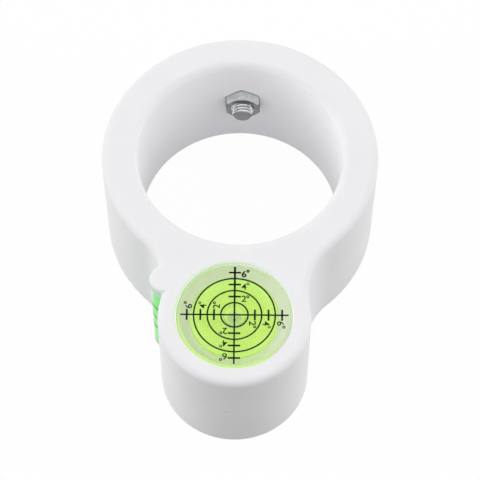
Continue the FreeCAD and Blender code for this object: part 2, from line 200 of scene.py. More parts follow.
class Wire:
    """An output in a node tree. Sums and products of wires and numbers add Math nodes."""

    def __init__(self, tree, socket=None):
        self.tree = tree
        self.socket = socket

    def node(self, kind, settings=None, inputs=None, output=0):
        """Adds a node, sets its settings, then its inputs, and returns one of its outputs."""
        made = self.tree.nodes.new(kind)
        for name, value in (settings or {}).items():
            setattr(made, name, value)
        for name, value in (inputs or {}).items():
            if isinstance(value, Wire):
                self.tree.links.new(value.socket, made.inputs[name])
            else:
                made.inputs[name].default_value = value
        return Wire(self.tree, made.outputs[output] if made.outputs else None)

    def maths(self, operation, *others):
        """A Math node with this wire as its first input."""
        inputs = dict(enumerate((self, *others)))
        return self.node("ShaderNodeMath", {"operation": operation}, inputs)

    def __add__(self, other):
        return self.maths("ADD", other)

    def __sub__(self, other):
        return self.maths("SUBTRACT", other)

    def __mul__(self, other):
        return self.maths("MULTIPLY", other)

    def __truediv__(self, other):
        return self.maths("DIVIDE", other)

    def after(self, operation, first):
        """A Math node with this wire as its second input."""
        return self.node("ShaderNodeMath", {"operation": operation}, {0: first, 1: self})

    def __rsub__(self, other):
        return self.after("SUBTRACT", other)

    def __rtruediv__(self, other):
        return self.after("DIVIDE", other)

    __radd__ = __add__
    __rmul__ = __mul__

    def clamped(self):
        """This wire, held between 0 and 1."""
        return self.maths("MINIMUM", 1.0).maths("MAXIMUM", 0.0)

    def ramped(self, start, end):
        """0 at start, 1 at end, smooth between them."""
        inputs = {"Value": self, "From Min": start, "From Max": end}
        return self.node("ShaderNodeMapRange", {"interpolation_type": "SMOOTHSTEP"}, inputs)

    def faded(self, start, end):
        """1 at start, 0 at end, smooth between them."""
        return 1.0 - self.ramped(start, end)

    def mixed(self, low, high):
        """The colour low where this is 0 and high where it is 1."""
        inputs = {0: self, 6: low, 7: high}
        return self.node("ShaderNodeMix", {"data_type": "RGBA"}, inputs, output=2)


def distance(across, along):
    """Distance from an axis, from two wires across it."""
    return (across * across + along * along).maths("SQRT")


def colour(red, green, blue):
    """An opaque colour."""
    return (red, green, blue, 1.0)


BLACK = colour(0.0, 0.0, 0.0)
WHITE = colour(1.0, 1.0, 1.0)


def new_material(name, **sockets):
    """A material whose Principled shader has these constants; with it, its tree and the shader."""
    material = bpy.data.materials.new(name)
    material.use_nodes = True
    shader = material.node_tree.nodes["Principled BSDF"]
    for socket, value in sockets.items():
        title = socket.replace("_", " ").title().replace("Ior", "IOR")
        shader.inputs[title].default_value = value
    return material, Wire(material.node_tree), shader


def feed(root, shader, name, wire):
    """Links a wire to one of the shader's inputs."""
    root.tree.links.new(wire.socket, shader.inputs[name])


def axes_of(root, vector):
    """The three parts of a vector, as wires."""
    return [root.node("ShaderNodeSeparateXYZ", None, {0: vector}, output=axis)
            for axis in range(3)]


def object_place(root, centre=(0.0, 0.0, 0.0)):
    """Object coordinates from a centre, as a vector and as three wires."""
    shift = [-value for value in centre]
    place = root.node("ShaderNodeTexCoord", output=3)
    moved = root.node("ShaderNodeVectorMath", {"operation": "ADD"}, {0: place, 1: shift})
    return moved, axes_of(root, moved)


def noise(root, place, scale, detail=2.0):
    """Noise from 0 to 1 with a wavelength in metres."""
    inputs = {"Vector": place, "Scale": 1.0 / scale, "Detail": detail}
    return root.node("ShaderNodeTexNoise", None, inputs)


def bump(root, height, depth):
    """A normal from a height wire; depth is the height's range in metres."""
    inputs = {"Strength": 1.0, "Distance": depth, "Height": height}
    return root.node("ShaderNodeBump", None, inputs)


# Finishes

def white_plastic():
    """Moulded white plastic with a satin grain, faint flow marks and a small pip on the boss.

    Painted green light tints the base colour round both vials. Soft emission is painted light,
    standing in for the light that comes through the walls into the bore, the pocket and the
    channel.
    """
    material, root, shader = new_material(
        "white_plastic", roughness=0.42, ior=1.46, emission_strength=1.0)
    place, (x, y, z) = object_place(root, (VIAL_AXIS.x, VIAL_AXIS.y, VIAL_FACE))
    flow = noise(root, place, FLOW_MARKS, 3.0)
    grain = noise(root, place, SATIN_GRAIN)
    plastic = flow.ramped(0.25, 0.75).mixed(
        colour(0.90, 0.898, 0.914), colour(0.925, 0.923, 0.939))

    # Pocket of the round vial, and the face round it.
    reach = distance(x, y)
    seat = HOUSING_LOW.z - VIAL_FACE
    pocket = reach.faded(VIAL_RADIUS + 0.15 * MM, VIAL_RADIUS + 0.3 * MM)
    pocket = pocket * z.ramped(seat - 0.4 * MM, seat - 0.2 * MM)
    # Painted green light round the round vial, strongest to the upper left and weaker in the
    # pocket.
    halo = reach.faded(VIAL_RADIUS - 0.2 * MM, VIAL_RADIUS + 1.3 * MM)
    halo = halo * z.ramped(-8.0 * MM, -3.0 * MM)
    upper_left = ((y * 0.75 - x * 0.66) / reach).ramped(-0.1, 1.0)
    painted_green_light = halo * (0.06 + 0.62 * upper_left) * (1.0 - 0.5 * pocket)
    plastic = painted_green_light.clamped().mixed(plastic, colour(0.60, 0.88, 0.42))

    # Channel of the tubular vial, and painted green light on the wall in front of it.
    tube_x, tube_y = x - (TUBE_AXIS.x - VIAL_AXIS.x), y - (TUBE_AXIS.y - VIAL_AXIS.y)
    tube_reach = distance(tube_x, tube_y)
    tube_top = BARREL_HIGH.z - VIAL_FACE
    below_cap = z.faded(tube_top + 0.05 * MM, tube_top + 0.35 * MM)
    channel = tube_reach.faded(TUBE_RADIUS + 0.06 * MM, TUBE_RADIUS + 0.15 * MM) * below_cap
    tube_green_light = tube_reach.faded(TUBE_RADIUS + 0.2 * MM, TUBE_RADIUS + 1.6 * MM) * below_cap
    tube_green_light = tube_green_light * tube_y.faded(-1.0 * MM, 1.0 * MM)
    feed(root, shader, "Base Color", (tube_green_light * 0.7).mixed(plastic, colour(0.50, 0.88, 0.52)))

    # Bore: emission that is painted light, brighter towards the clamp screw.
    from_bore = y + VIAL_AXIS.y
    bore = distance(x, from_bore).faded(BORE_RADIUS + 0.2 * MM, BORE_RADIUS + 1.2 * MM)
    bore = bore * z.faded(-2.0 * MM, 0.0)
    to_screw = (from_bore + 0.25 * x).ramped(0.0, 32.0 * MM)
    soft = to_screw.mixed(colour(0.015, 0.015, 0.016), colour(0.130, 0.128, 0.137))

    glow = bore.mixed(BLACK, soft)
    # Painted light in the pocket's wall, under the face's edge and under the bevel.
    below_edge = z.faded(-0.25 * MM, -0.05 * MM)
    glow = (pocket * below_edge).mixed(glow, colour(0.15, 0.15, 0.16))
    below_bevel = z.faded(-1.3 * MM, -0.9 * MM)
    glow = (pocket * below_bevel).mixed(glow, colour(0.42, 0.58, 0.26))
    feed(root, shader, "Emission Color", channel.mixed(glow, colour(0.36, 0.48, 0.38)))

    pip_x = (x - (PIP_X - VIAL_AXIS.x)) / PIP_STRETCH
    pip = distance(pip_x, z - (PIP_HEIGHT - VIAL_FACE)).faded(PIP_CORE, PIP_RADIUS)
    pip = pip * y.faded(-20.0 * MM, -16.0 * MM)
    feed(root, shader, "Roughness", 0.36 + 0.12 * grain)
    feed(root, shader, "Normal", bump(root, grain + PIP_RISE * pip, GRAIN_DEPTH))
    return material


def clear_acrylic(name, ior, tint):
    """A polished clear face, of acrylic or of a liquid under air, with its index."""
    material, _, _ = new_material(
        name, base_color=tint, roughness=0.0, ior=ior, transmission_weight=1.0)
    return material


def dyed_liquid(name, dye, cover, glow=BLACK):
    """A face of the dyed liquid: unseen as a face, it adds the dye's own colour by its cover; its
    glow is emission that is painted light.
    """
    material, _, _ = new_material(
        name, base_color=dye, roughness=0.5, specular_ior_level=0.0, alpha=cover,
        emission_color=glow, emission_strength=1.0)
    return material


def vial_floor():
    """The back plate, white and lime under the liquid, with a painted bubble shadow and a dark
    centre spot.
    """
    material, root, shader = new_material("vial_floor", roughness=0.5, emission_strength=1.0)
    place, (x, y, _) = object_place(root, (VIAL_AXIS.x, VIAL_AXIS.y, CHAMBER_FLOOR))
    reach = distance(x, y)
    wet = reach.faded(CHAMBER_RADIUS - 0.1 * MM, CHAMBER_RADIUS + 0.05 * MM)
    cloud = noise(root, place, FLOOR_CLOUDS).ramped(0.3, 0.7)
    outer = reach.ramped(0.7 * CHAMBER_RADIUS, CHAMBER_RADIUS) * 0.5
    # Painted shadow of the bubble, and a small dark spot at its centre.
    bubble_shadow = reach.faded(0.8 * BUBBLE_RADIUS, 1.25 * BUBBLE_RADIUS) * 0.8
    centre_spot = reach.faded(0.25 * MM, 0.6 * MM)

    lime = cloud.mixed(colour(0.73, 0.93, 0.27), colour(0.78, 0.95, 0.33))
    lime = outer.mixed(lime, colour(0.80, 0.93, 0.50))
    lime = bubble_shadow.mixed(lime, colour(0.58, 0.68, 0.38))
    lime = centre_spot.mixed(lime, colour(0.03, 0.07, 0.02))
    feed(root, shader, "Base Color", wet.mixed(colour(0.86, 0.90, 0.80), lime))

    # Emission is painted light, with the painted shadow of the bubble in it too.
    glow = cloud.mixed(colour(0.26, 0.365, 0.042), colour(0.30, 0.41, 0.055))
    glow = outer.mixed(glow, colour(0.30, 0.40, 0.13))
    glow = bubble_shadow.mixed(glow, colour(0.17, 0.21, 0.11))
    glow = centre_spot.mixed(glow, colour(0.0, 0.01, 0.0))
    feed(root, shader, "Emission Color", wet.mixed(colour(0.18, 0.19, 0.14), glow))
    return material


def vial_seat():
    """The housing's faces bonded to the white pocket: pale grey-green through the acrylic, with
    painted light.
    """
    material, root, shader = new_material("vial_seat", roughness=0.6, emission_strength=1.0)
    place, (x, y, _) = object_place(root, (VIAL_AXIS.x, VIAL_AXIS.y, HOUSING_LOW.z))
    cloud = noise(root, place, SEAT_CLOUDS).ramped(0.3, 0.7)
    # Painted light: paler to the right, and a painted shade to the lower left.
    to_right = ((x * 0.8 - y * 0.6) / VIAL_RADIUS).ramped(-1.0, 1.0)
    lower_left_shade = ((x * -0.8 - y * 0.6) / VIAL_RADIUS).ramped(0.6, 0.95)
    pale = to_right.mixed(colour(0.82, 0.88, 0.70), colour(0.87, 0.92, 0.80))
    pale = (cloud * 0.35).mixed(pale, colour(0.74, 0.82, 0.58))
    pale = (lower_left_shade * 0.3).mixed(pale, colour(0.55, 0.62, 0.38))
    feed(root, shader, "Base Color", pale)
    # Emission is painted light, greener on the near side.
    near = (y / VIAL_RADIUS).ramped(-0.3, -0.9)
    glow = to_right.mixed(colour(0.14, 0.145, 0.125), colour(0.168, 0.165, 0.165))
    feed(root, shader, "Emission Color", near.mixed(glow, colour(0.125, 0.14, 0.09)))
    return material


def tube_end():
    """The solid ends of the tubular vial: hazy and pale, and green just under the liquid."""
    material, root, shader = new_material(
        "tube_end", roughness=0.3, alpha=0.85, emission_strength=1.0)
    place, (_, _, z) = object_place(root)
    haze = noise(root, place, TUBE_HAZE).ramped(0.3, 0.7)
    pale = haze.mixed(colour(0.65, 0.75, 0.63), colour(0.71, 0.80, 0.68))
    under_liquid = z.ramped(BARREL_LOW.z, PLUG_HIGH.z)
    under_liquid = under_liquid * z.faded(PLUG_HIGH.z, PLUG_HIGH.z + 2.0 * MM)
    pale = (under_liquid * 0.8).mixed(pale, colour(0.40, 0.70, 0.34))
    feed(root, shader, "Base Color", pale)
    # The faint emission is painted light.
    glow = haze.mixed(colour(0.03, 0.05, 0.03), colour(0.04, 0.06, 0.04))
    feed(root, shader, "Emission Color", glow)
    return material


def vial_rim():
    """The housing's bevelled rim, in painted light: lime where light from the dye leaves the
    acrylic, elsewhere pale and soft green towards the back left.
    """
    material, root, shader = new_material(
        "vial_rim", roughness=0.5, specular_ior_level=0.15, emission_strength=0.34)
    _, (x, y, _) = object_place(root, (VIAL_AXIS.x, VIAL_AXIS.y, VIAL_FACE))
    reach = distance(x, y)
    across = (reach - VIAL_RADIUS) / VIAL_RIM + 1.0
    away = (y * 0.85 - x * 0.53) / reach
    to_right = (x * 0.95 + y * 0.31) / reach
    near = ((x * -0.35 - y * 0.94) / reach).ramped(0.0, 0.8)
    width = near * 1.3 + to_right.ramped(0.3, 0.9) * (1.0 - near) * 0.5
    lime_share = (across - width).faded(-0.15, 0.15).clamped()
    soft_green = away.ramped(-0.3, 0.9) * to_right.faded(-0.2, 0.5)
    edge = soft_green.mixed(colour(0.80, 0.86, 0.72), colour(0.65, 0.83, 0.48))
    lime = near.mixed(colour(0.64, 0.80, 0.48), colour(0.61, 0.83, 0.31))
    feed(root, shader, "Base Color", lime_share.mixed(edge, lime))
    feed(root, shader, "Emission Color", (lime_share * near).mixed(BLACK, colour(0.3, 0.45, 0.1)))
    return material


def print_ink():
    """Screen-printed dark green ink."""
    material, root, shader = new_material("print_ink", roughness=0.5, specular_ior_level=0.1)
    place, _ = object_place(root)
    worn = noise(root, place, INK_WEAR, 3.0).ramped(0.3, 0.8)
    dark = worn.mixed(colour(0.004, 0.014, 0.008), colour(0.009, 0.028, 0.015))
    feed(root, shader, "Base Color", dark)
    return material


def ring_ink():
    """Green ink of the lines round the tubular vial, faint at its middle and full at the top."""
    material, root, shader = new_material("ring_ink", roughness=0.4)
    place, (_, _, z) = object_place(root, TUBE_AXIS)
    worn = noise(root, place, INK_WEAR, 3.0).ramped(0.3, 0.8)
    faint = z.faded(3.0 * MM, 5.0 * MM)
    middle = faint * z.ramped(-5.0 * MM, -3.0 * MM)
    green = worn.mixed(colour(0.04, 0.20, 0.05), colour(0.07, 0.26, 0.07))
    green = (faint * 0.12).mixed(green, colour(0.22, 0.62, 0.22))
    green = (middle * 0.25).mixed(green, colour(0.24, 0.66, 0.24))
    feed(root, shader, "Base Color", green)
    return material


def zinc_steel(name):
    """Zinc plate over steel, with fine drawn marks; returns what its colours are built from.

    The colours are the cloudy plate and a darker colour, painted shade, for faces that look dark.
    Places are from the screw's axis.
    """
    material, root, shader = new_material(name, metallic=1.0)
    place, axes = object_place(root, (0.0, 0.0, SCREW_LEVEL))
    cloud = noise(root, place, PLATE_CLOUDS, 3.0)
    marks = noise(root, place, DRAWN_MARKS)
    patchy = cloud.ramped(0.3, 0.7)
    plate = patchy.mixed(colour(0.62, 0.66, 0.65), colour(0.74, 0.77, 0.76))
    # Painted shade: the darker colour for faces that look dark.
    dark_face_shade = patchy.mixed(colour(0.21, 0.215, 0.22), colour(0.26, 0.265, 0.27))
    feed(root, shader, "Normal", bump(root, marks, MARK_DEPTH))
    return material, root, shader, axes, cloud, plate, dark_face_shade


def screw_steel():
    """The screw: painted highlights on the crests, painted shade in the grooves and on the tip, and
    a plated head.
    """
    material, root, shader, (x, y, z), cloud, plate, dark_face_shade = zinc_steel("screw_steel")
    # Painted highlight on the crests and painted shade in the grooves.
    crest = distance(x, z).ramped(0.84 * SCREW_RADIUS, 0.95 * SCREW_RADIUS)
    thread = crest.mixed(colour(0.36, 0.39, 0.39), colour(0.88, 0.91, 0.90))
    shank_end = NECK + NECK_OVERLAP
    shank = y.faded(shank_end - 0.02 * MM, shank_end)
    # Painted shade on the tip's end, reaching further back on its underside.
    underside_shade = z.faded(0.3 * MM, 1.6 * MM)
    tip = (y - 0.6 * MM * underside_shade).faded(SCREW_LOW.y + 0.04 * MM, SCREW_LOW.y + 0.12 * MM)
    feed(root, shader, "Base Color", tip.mixed(shank.mixed(plate, thread), dark_face_shade))
    feed(root, shader, "Roughness", 0.14 + 0.14 * cloud + 0.25 * tip)
    return material


def nut_steel():
    """The nut, in painted light: a dark face, a bevel bright only at the upper corner, and dark
    sides.
    """
    material, root, shader, (x, y, z), cloud, plate, dark_face_shade = zinc_steel("nut_steel")
    depth = y - NUT_LOW.y
    # Painted shade on the face, the sides and the bevel below the upper corner; a painted highlight
    # on the bevel at that corner; a painted shadow at the back by the wall.
    face = depth.faded(0.05 * MM, 0.12 * MM)
    bevel = depth.faded(0.9 * MM, 1.0 * MM) * distance(x, z).ramped(3.6 * MM, 3.9 * MM)
    side = x.maths("ABSOLUTE").ramped(4.80 * MM, 4.95 * MM) * 0.75
    back = depth.ramped(2.2 * MM, 2.8 * MM) * 0.6
    below_corner = z.faded(1.8 * MM, 3.0 * MM)
    dark = (face + bevel * below_corner).clamped()
    plate = (bevel * 0.6).mixed(plate, colour(0.90, 0.92, 0.91))
    plate = (side + back).clamped().mixed(plate, colour(0.26, 0.27, 0.28))
    feed(root, shader, "Base Color", dark.mixed(plate, dark_face_shade))
    feed(root, shader, "Roughness", 0.14 + 0.14 * cloud + 0.25 * dark)
    return material


# Meshes

def finish_mesh(name, mesh, materials, body, node=None):
    """Links a mesh as a piece: smooth but for its creases, riding on a body."""
    for material in materials:
        mesh.materials.append(material)
    mesh.shade_smooth()
    mesh.set_sharp_from_angle(angle=CREASE)
    piece = bpy.data.objects.new(name, mesh)
    bpy.context.scene.collection.objects.link(piece)
    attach(piece, body)
    if node:
        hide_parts(node)


def mesh_from(build, name):
    """The mesh that a bmesh gives, which is freed."""
    mesh = bpy.data.meshes.new(name)
    build.to_mesh(mesh)
    build.free()
    return mesh


def lathe(name, profile, axis, steps=ROUND_STEPS):
    """A closed mesh: a profile of (radius, height, finish) turned round a vertical axis.

    The profile runs anticlockwise with the axis on its left side; finish is the material of
    the stretch that starts at that point. Points on the axis become poles.
    """
    build = bmesh.new()
    angles = [2.0 * math.pi * step / steps for step in range(steps)]
    rows = []
    for radius, height, _ in profile:
        around = angles if radius > 1e-9 else [0.0]
        rows.append([build.verts.new((axis.x + radius * math.cos(angle),
                                      axis.y + radius * math.sin(angle), height))
                     for angle in around])
    for index, (_, _, finish) in enumerate(profile):
        low, high = rows[index], rows[(index + 1) % len(rows)]
        if len(low) == len(high) == 1:
            continue
        for step in range(steps):
            after = (step + 1) % steps
            corners = [low[step % len(low)], low[after % len(low)],
                       high[after % len(high)], high[step % len(high)]]
            face = build.faces.new(list(dict.fromkeys(corners)))
            face.material_index = finish
    bmesh.ops.recalc_face_normals(build, faces=build.faces)
    return mesh_from(build, name)


def plain_mesh(name, data, prepare=None):
    """The plain mesh that a curve, or a mesh with modifiers, evaluates to."""
    carrier = bpy.data.objects.new(name, data)
    bpy.context.scene.collection.objects.link(carrier)
    if prepare:
        prepare(carrier)
    graph = bpy.context.evaluated_depsgraph_get()
    graph.update()
    mesh = bpy.data.meshes.new_from_object(carrier.evaluated_get(graph))
    bpy.data.objects.remove(carrier)
    return mesh


# Round vial

def dome_height(radius):
    """Height of the hollow dome over the liquid."""
    crown = VIAL_FACE - LENS_THICKNESS
    return crown - DOME_RADIUS + math.sqrt(DOME_RADIUS ** 2 - radius ** 2)


def dome_points(start, end, count, drop, finish):
    """Points of the dome from one radius to another, lowered by drop."""
    radii = [start + (end - start) * index / count for index in range(count + 1)]
    return [(radius, dome_height(radius) - drop, finish) for radius in radii]


def bevel_points(count, finish):
    """The housing's bevelled rim, from its side up to its face, a little crowned."""
    points = []
    for index in range(count + 1):
        share = index / count
        crown = RIM_CROWN * math.sin(math.pi * share)
        radius = VIAL_RADIUS - VIAL_RIM * share + crown
        points.append((radius, FACE_OF_PRINT - VIAL_RIM * (1.0 - share) + crown, finish))
    return points


def dish_points(rim, bottom, depth, count, finish):
    """A round hollow from its rim inwards: a dish of this depth over its lowest height."""
    curve = (rim ** 2 + depth ** 2) / (2.0 * depth)
    radii = [rim * (1.0 - index / count) for index in range(count + 1)]
    return [(radius, bottom + curve - math.sqrt(curve ** 2 - radius ** 2), finish)
            for radius in radii]


def build_round_vial(acrylic, lime, lime_wall, liquid_surface, floor):
    """Clear housing over the dyed liquid with its bubble, and the back plate below."""
    foot = HOUSING_LOW.z + FILM
    shoulder = CHAMBER_FLOOR + FILM
    clear, wet, seat, glow = range(4)
    rim = bevel_points(BEVEL_STEPS, glow)
    profile = [(CHAMBER_RADIUS + PLATE_STEP, foot, seat), (VIAL_RADIUS, foot, seat)]
    profile += rim[:-1]
    profile += [(VIAL_RADIUS - VIAL_RIM, FACE_OF_PRINT, clear), (0.0, FACE_OF_PRINT, clear)]
    profile += dome_points(0.0, BUBBLE_RADIUS, CAP_STEPS, 0.0, clear)[:-1]
    profile += dome_points(BUBBLE_RADIUS, CHAMBER_RADIUS, DOME_STEPS, 0.0, wet)
    profile += [(CHAMBER_RADIUS, shoulder, seat), (CHAMBER_RADIUS + PLATE_STEP, shoulder, seat)]
    mesh = lathe("bullseye_lens", profile, VIAL_AXIS)
    finishes = [acrylic, lime, vial_seat(), vial_rim()]
    finish_mesh("bullseye_lens", mesh, finishes, "collar", "bullseye_housing")

    inner, surface, wall = range(3)
    edge = CHAMBER_RADIUS - FILM
    bubble_foot = dome_height(0.0) - BUBBLE_DEPTH
    bubble_depth = dome_height(BUBBLE_RADIUS) - FILM - bubble_foot
    profile = [(0.0, CHAMBER_FLOOR + FILM, inner), (edge, CHAMBER_FLOOR + FILM, wall)]
    profile += dome_points(edge, BUBBLE_RADIUS, DOME_STEPS, FILM, inner)[:-1]
    profile += dish_points(BUBBLE_RADIUS, bubble_foot, bubble_depth, DOME_STEPS, surface)
    mesh = lathe("bullseye_liquid", profile, VIAL_AXIS)
    finishes = [lime, liquid_surface, lime_wall]
    finish_mesh("bullseye_liquid", mesh, finishes, "collar", "bullseye_fluid")

    radius = (PLATE_HIGH.x - PLATE_LOW.x) / 2
    low, high = PLATE_LOW.z + FILM, CHAMBER_FLOOR - FILM
    profile = [(0.0, low, 0), (radius, low, 0), (radius, high, 0), (0.0, high, 0)]
    mesh = lathe("bullseye_floor", profile, VIAL_AXIS)
    finish_mesh("bullseye_floor", mesh, [floor], "collar", "bullseye_back_plate")


# Tubular vial

def crown_swell(height, low, high):
    """How far the liquid space swells at a height between its ends."""
    middle, half = (low + high) / 2, (high - low) / 2
    radius = (half ** 2 + TUBE_CROWN ** 2) / (2 * TUBE_CROWN)
    return math.sqrt(radius ** 2 - (height - middle) ** 2) - radius + TUBE_CROWN


def build_tube_vial(acrylic, green, mint, liquid_surface):
    """Clear barrel, closed at its upper end, with the dyed liquid and the air over it."""
    foot, top = BARREL_LOW.z + FILM, BARREL_HIGH.z - FILM
    floor, roof = PLUG_HIGH.z, BARREL_HIGH.z - TUBE_END
    surface = GREEN_HIGH.z
    shoulder = TUBE_RADIUS - TUBE_BEVEL
    clear, wet, dry, pale = range(4)
    dry_heights = [roof + (surface - roof) * index / DRY_STEPS for index in range(DRY_STEPS)]
    wet_heights = [surface + (floor - surface) * index / WET_STEPS
                   for index in range(WET_STEPS + 1)]
    profile = [(TUBE_BORE, foot, pale), (shoulder, foot, pale)]
    profile += [(TUBE_RADIUS, foot + TUBE_BEVEL, pale)]
    profile += [(TUBE_RADIUS, floor + TUBE_PALE_FOOT, clear)]
    profile += [(TUBE_RADIUS, top - TUBE_PALE, pale), (TUBE_RADIUS, top - TUBE_BEVEL, pale)]
    profile += [(shoulder, top, pale), (0.0, top, pale), (0.0, roof, pale)]
    for heights, finish in ((dry_heights, dry), (wet_heights, wet)):
        profile += [(TUBE_BORE + crown_swell(height, floor, roof), height, finish)
                    for height in heights]
    mesh = lathe("tube_barrel", profile, TUBE_AXIS, TUBE_STEPS)
    finishes = [acrylic, green, mint, tube_end()]
    finish_mesh("tube_barrel", mesh, finishes, "collar", "tube_vial_barrel")

    profile = [(0.0, floor + FILM, 0)]
    for height in reversed(wet_heights):
        radius = TUBE_BORE + crown_swell(height, floor, roof) - FILM
        profile.append((radius, max(height, floor + FILM), 0))
    rim = profile.pop()[0]
    profile += dish_points(rim, surface - TUBE_DISH, TUBE_DISH, DISH_STEPS, 1)
    mesh = lathe("tube_liquid", profile, TUBE_AXIS, TUBE_STEPS)
    finishes = [green, liquid_surface]
    finish_mesh("tube_liquid", mesh, finishes, "collar", "tube_vial_fluid")


# Print: lines and numbers

def grow(name, make_tree, sizes, material):
    """Runs a geometry tree with these named sizes and returns what it gives as a plain mesh."""
    tree = bpy.data.node_groups.new(name, "GeometryNodeTree")
    for way in ("INPUT", "OUTPUT"):
        tree.interface.new_socket("Geometry", in_out=way, socket_type="NodeSocketGeometry")
    keys = {size: tree.interface.new_socket(
        size, in_out="INPUT", socket_type="NodeSocketFloat").identifier for size in sizes}
    root = Wire(tree)
    source = tree.nodes.new("NodeGroupInput")
    shape = make_tree(root, {size: Wire(tree, source.outputs[size]) for size in sizes})
    shape = root.node("GeometryNodeRealizeInstances", None, {0: shape})
    finish = {"Geometry": shape, "Material": material}
    shape = root.node("GeometryNodeSetMaterial", None, finish)
    root.node("NodeGroupOutput", None, {0: shape})

    def give_tree(carrier):
        modifier = carrier.modifiers.new(name, "NODES")
        modifier.node_group = tree
        for size, value in sizes.items():
            modifier[keys[size]] = value

    return plain_mesh(name, bpy.data.meshes.new(name), give_tree)


def ring_lines(root, size):
    """Level rings: each a step wider and a step higher than the last, with a flat section."""
    index = root.node("GeometryNodeInputIndex")
    points = root.node("GeometryNodeMeshLine", None, {"Count": 3})
    lift = root.node("ShaderNodeCombineXYZ", None, {"Z": index * size["Height step"]})
    points = root.node("GeometryNodeSetPosition", None, {"Geometry": points, "Position": lift})
    circle = root.node("GeometryNodeCurvePrimitiveCircle", None,
                       {"Resolution": ROUND_STEPS, "Radius": 1.0})
    reach = size["First radius"] + index * size["Radius step"]
    spread = root.node("ShaderNodeCombineXYZ", None, {"X": reach, "Y": reach, "Z": 1.0})
    rings = root.node("GeometryNodeInstanceOnPoints", None,
                      {"Points": points, "Instance": circle, "Scale": spread})
    rings = root.node("GeometryNodeRealizeInstances", None, {0: rings})
    section = {"Width": size["Section width"], "Height": size["Section height"]}
    profile = root.node("GeometryNodeCurvePrimitiveQuadrilateral", None, section)
    sweep = {"Curve": rings, "Profile Curve": profile}
    return root.node("GeometryNodeCurveToMesh", None, sweep)


def block(root, length, width, thickness):
    """A flat block of this size, centred on the origin."""
    size = root.node("ShaderNodeCombineXYZ", None, {"X": length, "Y": width, "Z": thickness})
    return root.node("GeometryNodeMeshCube", None, {"Size": size})


def cross_lines(root, size):
    """A cross of four arms, each with ticks half way between the rings."""
    index = root.node("GeometryNodeInputIndex")
    along = root.node("ShaderNodeCombineXYZ", None, {"X": size["Ring step"] * (1.5 + index)})
    points = root.node("GeometryNodeMeshLine", None, {"Count": 3})
    points = root.node("GeometryNodeSetPosition", None, {"Geometry": points, "Position": along})
    tick = block(root, size["Tick line"], size["Tick length"], size["Thickness"])
    ticks = root.node("GeometryNodeInstanceOnPoints", None, {"Points": points, "Instance": tick})
    arm = block(root, size["Arm length"], size["Cross line"], size["Thickness"])
    shift = root.node("ShaderNodeCombineXYZ", None, {"X": size["Arm length"] / 2.0})
    arm = root.node("GeometryNodeTransform", None, {"Geometry": arm, "Translation": shift})
    joined = root.node("GeometryNodeJoinGeometry")
    for shape in (ticks, arm):
        root.tree.links.new(shape.socket, joined.socket.node.inputs[0])
    hub = root.node("GeometryNodeMeshLine", None, {"Count": 4, "Offset": (0.0, 0.0, 0.0)})
    turn = root.node("ShaderNodeCombineXYZ", None, {"Z": index * (math.pi / 2.0)})
    arms = {"Points": hub, "Instance": joined, "Rotation": turn}
    return root.node("GeometryNodeInstanceOnPoints", None, arms)


def place_mesh(mesh, place, turn=0.0):
    """Turns a mesh about the vertical axis, then moves it."""
    mesh.transform(Matrix.Translation(place) @ Matrix.Rotation(turn, 4, "Z"))
    return mesh


def digit_mesh(words, weight):
    """A flat number as a mesh, centred on the origin."""
    curve = bpy.data.curves.new("number_" + words, "FONT")
    curve.body = words
    curve.size = DIGIT_HEIGHT / DIGIT_PER_SIZE
    curve.align_x = "CENTER"
    curve.offset = weight
    curve.extrude = INK_THICKNESS / 2
    curve.resolution_u = 6
    mesh = plain_mesh("number_" + words, curve)
    low, high = [Vector([end(corner.co[axis] for corner in mesh.vertices) for axis in range(3)])
                 for end in (min, max)]
    widen = Matrix.Diagonal((DIGIT_WIDENING, 1.0, 1.0, 1.0))
    mesh.transform(widen @ Matrix.Translation(-(low + high) / 2))
    mesh.materials.clear()
    return mesh


def degree_mesh(weight):
    """The little ring of a degree sign, centred on the origin."""
    inner, outer = DEGREE_RADIUS - DEGREE_LINE - weight, DEGREE_RADIUS + weight
    half = INK_THICKNESS / 2
    profile = [(inner, -half, 0), (outer, -half, 0), (outer, half, 0), (inner, half, 0)]
    return lathe("degree", profile, Vector(), DEGREE_STEPS)


def joined_mesh(name, meshes):
    """One mesh of several."""
    build = bmesh.new()
    for mesh in meshes:
        build.from_mesh(mesh)
    return mesh_from(build, name)


